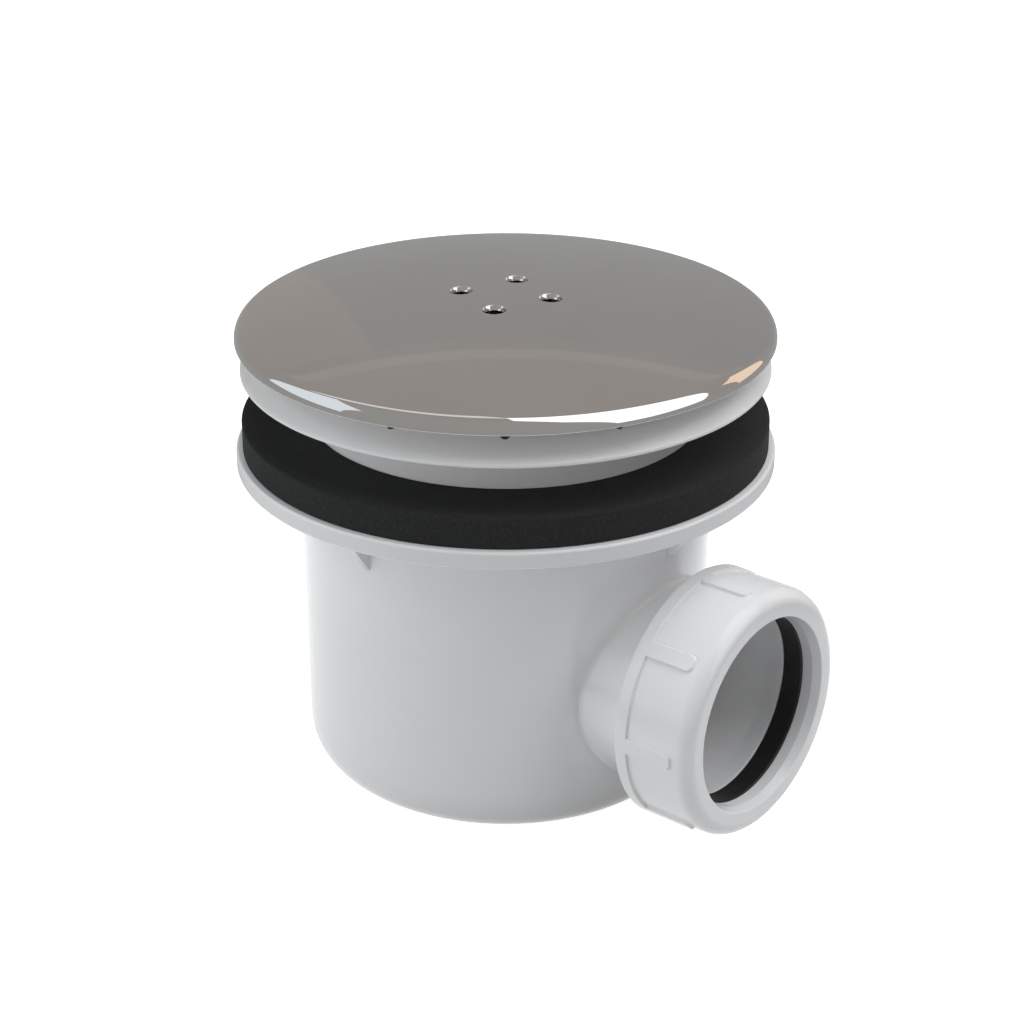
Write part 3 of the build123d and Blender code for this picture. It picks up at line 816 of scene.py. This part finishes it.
def makeNut(form):
    # rows along the outlet by columns round it, with the skin raised where a point is on the collar or a rib
    rear, front = nutLow[0], nutHigh[0]
    shoulder = front - form["lip"]
    panel, corner = form["panel"], form["ribCorner"]
    collarRadius = panel + form["raise"]
    collarFront = rear + form["collar"]
    ribEnd = collarFront + form["ribLength"]
    fine = form["wallSlope"] * np.linspace(-form["slopeReach"], form["slopeReach"], form["slopeSteps"])
    collarRows = rear + np.array(form["collarLines"])
    begin, end, count = form["ribRows"]
    ribRows = np.linspace(collarFront + begin, ribEnd - end, count)
    begin, end, count = form["tipRows"]
    tipRows = np.linspace(ribEnd - corner - begin, ribEnd - end, count)
    along = np.unique(np.concatenate([
        collarRows, collarFront + fine, ribRows, tipRows, ribEnd + fine, [ribEnd + form["lastRow"]]]))
    halfPitch = math.pi / form["ribs"] * panel
    halfRib = form["ribWidth"] / 2
    end, count = form["cornerColumns"]
    cornerColumns = halfRib - np.linspace(corner, end, count)
    begin, count = form["panelColumns"]
    panelColumns = np.linspace(halfRib + begin, halfPitch, count)
    halfSteps = np.unique(np.concatenate([
        [form["middleColumn"]], cornerColumns, halfRib + fine, panelColumns]))
    offsets = np.concatenate([-halfSteps[::-1], [0], halfSteps[:-1]])
    columns = (circle(form["ribs"], form["turn"])[:, None] + offsets / panel).ravel()
    offset = np.tile(offsets, form["ribs"])

    # how far a point lies outside the ribs and the collar: a rounded bar's distance, and the collar's edge
    x = along[:, None] - (ribEnd - corner)
    y = np.abs(offset)[None] - (halfRib - corner)
    beyond = np.hypot(np.maximum(x, 0), np.maximum(y, 0))
    outside = beyond + np.minimum(np.maximum(x, y), 0) - corner
    outside = np.minimum(outside, along[:, None] - collarFront)
    raised = np.clip(0.5 - outside / (2 * form["wallSlope"]), 0, 1)
    raised = raised ** 2 * (3 - 2 * raised)
    middle = level(panel + form["raise"] * raised, columns[None], along[:, None])
    edgeRound, thread, bore = form["edgeRound"], form["thread"], form["bore"]
    head = profile([
        (thread, shoulder, form["threadRound"]), (thread, rear, edgeRound),
        (collarRadius, rear, 2 * edgeRound), (collarRadius, rear + form["collarLead"], 0),
    ], arcStep=12)
    tail = profile([
        (panel, ribEnd + form["ribLead"], 0), (panel, front, form["frontRound"]),
        (bore + form["mouthChamfer"], front, edgeRound),
        (bore, front - form["mouthDepth"], form["mouthRound"]), (bore, shoulder, form["threadRound"]),
        (thread - form["seatOverlap"], shoulder, 0),
    ], arcStep=7)
    head[:3, 0] = np.minimum(head[:3, 0], thread)  # the closing corner's arc goes no wider than the thread
    rows = np.concatenate([turned(head, columns, level), middle, turned(tail, columns, level)])
    skin = patch(rows, closeRows=True, closeCols=True)
    makePiece("unionNut", [skin], plasticFinish, "union_nut")


makeNut(nutForm)


# Outlet seal: the black ring between the spigot and the nut

ringForm = {"bore": 20.15, "boreRound": 0.6, "edgeRound": 0.15, "stride": 1.0, "columns": 200}
pipeRing = softRing(ringForm, ringHigh[1], ringLow[0], ringHigh[0], level)
makePiece("outletRing", [pipeRing], rubberFinish, "outlet_seal")
print("pieces made")


# Stage: a white floor, five soft windows, and a tent, a ground sheet and bright cards that only mirrors see

stageLook = {
    "floorSize": 6.0, "floorColour": (0.5, 0.5, 0.5, 1), "floorGlow": 0.93,
    "tentRadius": 2.6, "tentFoot": -2, "tentRows": 40, "tentColumns": 96, "tentStrength": 1.0,
    "cloth": (0.43, 0.40, 0.38, 1), "sheet": (0.42, 0.42, 0.41, 1), "sheetInner": 0.15, "sheetHeight": 0.002,
    "glintGap": 0.1, "ambient": 0.12,
}

# a card in the tent is its lowest and highest bearing and climb in degrees, and its colour
cards = {
    "greyPanel": {"bearing": (91, 139.5), "climb": (-10, 32.4), "colour": (0.385, 0.385, 0.377, 1)},
    "brownBand": {"bearing": (91, 148), "climb": (32.4, 34.4), "colour": (0.41, 0.387, 0.37, 1)},
    "paleBand": {"bearing": (91, 150), "climb": (34.4, 36.1), "colour": (0.457, 0.432, 0.412, 1)},
    "frontWall": {"bearing": (-150, 40), "climb": (-10, 75), "colour": (0.43, 0.425, 0.41, 1)},
}


def stagePiece(name, points, faces, material):  # a mesh for the stage, left out of the object's body
    piece = newMesh(name, points, faces, material)
    return piece


def forMirrors(piece):  # neither the camera nor matt surfaces see the piece, and it casts no shadow
    piece.visible_camera = False
    piece.visible_diffuse = False
    piece.visible_shadow = False


def newGlow(name):  # an empty material that isn't sampled as a lamp, and a wire in its tree
    material = bpy.data.materials.new(name)
    material.use_nodes = True
    material.cycles.emission_sampling = "NONE"
    material.node_tree.nodes.clear()
    return material, Wire(material.node_tree)


def makeFloor(look):
    # the floor is lit as a matt surface, and glows up to white for the camera, for mirrors and through glass
    half = look["floorSize"] / 2
    material, wire = newGlow("floorWhite")
    rays = "Is Camera Ray", "Is Glossy Ray", "Is Transmission Ray"
    direct, glossy, clear = (wire.node("ShaderNodeLightPath", out=ray) for ray in rays)
    seen = wire.maths("MAXIMUM", wire.maths("MAXIMUM", direct, glossy), clear)
    matt = wire.node("ShaderNodeBsdfDiffuse", {"Color": look["floorColour"]})
    bright = wire.node("ShaderNodeAddShader", {0: matt, 1: wire.glow((1, 1, 1, 1), look["floorGlow"])})
    wire.surface(wire.node("ShaderNodeMixShader", {0: seen, 1: matt, 2: bright}))
    corners = [(-half, -half, 0), (half, -half, 0), (half, half, 0), (-half, half, 0)]
    stagePiece("floor", corners, [(0, 1, 2, 3)], material)


def makeTent(look, cards):
    # cloth all round, with each card laid over it between its bearings and climbs, and a sheet on the ground
    material, wire = newGlow("tentCloth")
    spot = wire.node("ShaderNodeTexCoord", out="Object")
    x, y, z = (wire.node("ShaderNodeSeparateXYZ", {"Vector": spot}, out=axis) for axis in "XYZ")
    bearing = wire.maths("ARCTAN2", y, x) * math.degrees(1)
    climb = wire.maths("ARCTAN2", z, wire.maths("SQRT", x * x + y * y)) * math.degrees(1)

    def inside(angle, low, high, soft=0.25):  # 1 between two angles, with soft edges
        return angle.ramp(low - soft, low + soft) * (1 - angle.ramp(high - soft, high + soft))

    colour = look["cloth"]
    for card in cards.values():
        covered = inside(bearing, *card["bearing"]) * inside(climb, *card["climb"])
        colour = covered.blend(colour, card["colour"])
    wire.surface(wire.glow(colour, look["tentStrength"]))
    columns = circle(look["tentColumns"])
    angle = np.radians(np.linspace(look["tentFoot"], 90, look["tentRows"]))
    outline = np.column_stack([np.cos(angle), np.sin(angle)]) * look["tentRadius"]
    forMirrors(stagePiece("tent", *lathe(outline, columns, closed=False), material))

    material, wire = newGlow("groundSheet")
    wire.surface(wire.glow(look["sheet"], look["tentStrength"]))
    outline = np.array([(look["sheetInner"], look["sheetHeight"]), (look["tentRadius"], look["sheetHeight"])])
    forMirrors(stagePiece("groundSheet", *lathe(outline, columns, closed=False), material))


# a glint is a bright card for mirrors: the bearing and climb of its corners in degrees, colour and glow
glints = {
    "leftGlint": {
        "corners": ((200, 7), (196, 54), (243, 38), (242, 1)), "colour": (0.88, 0.95, 1.0, 1), "glow": 1.2},
    "ridgeGlint": {
        "corners": ((190, 46), (180, 62), (128, 76), (134, 56)), "colour": (1, 0.97, 0.93, 1), "glow": 1.0},
    "rightGlint": {
        "corners": ((355, -2), (340, 52), (77, 62), (35, 4)), "colour": (1, 1, 1, 1), "glow": 1.9},
    "topGlint": {
        "corners": ((340, 52), (322, 82), (130, 72), (77, 62)), "colour": (1, 1, 1, 1), "glow": 1.9},
    "peachGlint": {
        "corners": ((57, -5), (57, 30), (80, 38), (78, -6)), "colour": (1.0, 0.77, 0.6, 1), "glow": 1.3},
}


def makeGlint(name, glint, radius, steps=16):
    # the corners' directions blended both ways, each blend pushed out to the same radius
    material, wire = newGlow(name)
    wire.surface(wire.glow(glint["colour"], glint["glow"]))
    bearing, climb = np.radians(glint["corners"]).T
    a, b, c, d = upright(np.cos(climb), bearing, np.sin(climb))
    along = np.linspace(0, 1, steps)[:, None, None]
    across = np.linspace(0, 1, steps)[None, :, None]
    points = (1 - across) * ((1 - along) * a + along * b) + across * ((1 - along) * d + along * c)
    points *= radius / np.linalg.norm(points, axis=-1, keepdims=True)
    forMirrors(stagePiece(name, *patch(points), material))


def makeWorld(look):
    # an even light on matt surfaces, and white where the camera looks past the floor
    world = bpy.data.worlds.new("studio")
    bpy.context.scene.world = world
    world.use_nodes = True
    world.node_tree.nodes.clear()
    wire = Wire(world.node_tree)
    direct = wire.node("ShaderNodeLightPath", out="Is Camera Ray")
    even, white = (wire.node("ShaderNodeBackground", {"Color": (1, 1, 1, 1), "Strength": strength})
                   for strength in (look["ambient"], 1.0))
    mixed = wire.node("ShaderNodeMixShader", {0: direct, 1: even, 2: white})
    wire.node("ShaderNodeOutputWorld", {"Surface": mixed}, out=None)
    world.cycles_visibility.glossy = False


# a lamp is its bearing and climb in degrees, width and height in metres, power in watts and colour
lamps = {
    "leftWindow": {
        "bearing": 218, "climb": 25, "size": (1.0, 1.0), "power": 4.6, "colour": (0.92, 0.96, 1.0)},
    "frontWindow": {
        "bearing": 258, "climb": 4, "size": (1.0, 0.2), "power": 3.3, "colour": (1.0, 1.0, 1.0)},
    "topWindow": {
        "bearing": 310, "climb": 87, "size": (0.8, 0.8), "power": 6.0, "colour": (0.94, 0.97, 1.0)},
    "rightWindow": {
        "bearing": 50, "climb": 52, "size": (1.2, 0.8), "power": 7.4, "colour": (0.97, 0.98, 1.0)},
    "outletWindow": {
        "bearing": 8, "climb": 26, "size": (0.6, 0.5), "power": 1.75, "colour": (0.97, 0.98, 1.0)},
}


def makeLamp(name, lamp, aim=(0, 0, 0.06), distance=1.2):  # a lit panel, at its distance from the aim
    bearing, climb = math.radians(lamp["bearing"]), math.radians(lamp["climb"])
    away = Vector((math.cos(bearing) * math.cos(climb), math.sin(bearing) * math.cos(climb), math.sin(climb)))
    light = bpy.data.lights.new(name, "AREA")
    light.shape = "RECTANGLE"
    light.size, light.size_y = lamp["size"]
    light.energy = lamp["power"]
    light.color = lamp["colour"]
    holder = newObject(name, light)
    holder.location = Vector(aim) + away * distance
    holder.rotation_euler = (-away).to_track_quat("-Z", "Y").to_euler()
    holder.visible_camera = False
    holder.visible_glossy = False


makeFloor(stageLook)
makeTent(stageLook, cards)
makeWorld(stageLook)
for lampName, lampLook in lamps.items():
    makeLamp(lampName, lampLook)
for glintName, glintLook in glints.items():
    makeGlint(glintName, glintLook, stageLook["tentRadius"] - stageLook["glintGap"])


# Camera: solved from the round edges of the object, with its place and aim in millimetres

cameraLook = {"place": (316.71, -376.83, 283.56), "aim": (1.43, 0.36, 56.53), "lens": 88.35, "sensor": 36.0,
              "clip": (0.01, 20)}


def makeCamera(look):  # a level camera at its place, turned to its aim
    data = bpy.data.cameras.new("camera")
    data.lens = look["lens"]
    data.sensor_width = look["sensor"]
    data.clip_start, data.clip_end = look["clip"]
    camera = newObject("camera", data)
    place, aim = Vector(look["place"]) * mm, Vector(look["aim"]) * mm
    camera.location = place
    camera.rotation_euler = (aim - place).to_track_quat("-Z", "Y").to_euler()
    bpy.context.scene.camera = camera


makeCamera(cameraLook)
bpy.context.scene.view_settings.view_transform = "Standard"
print("stage, lamps and camera made")
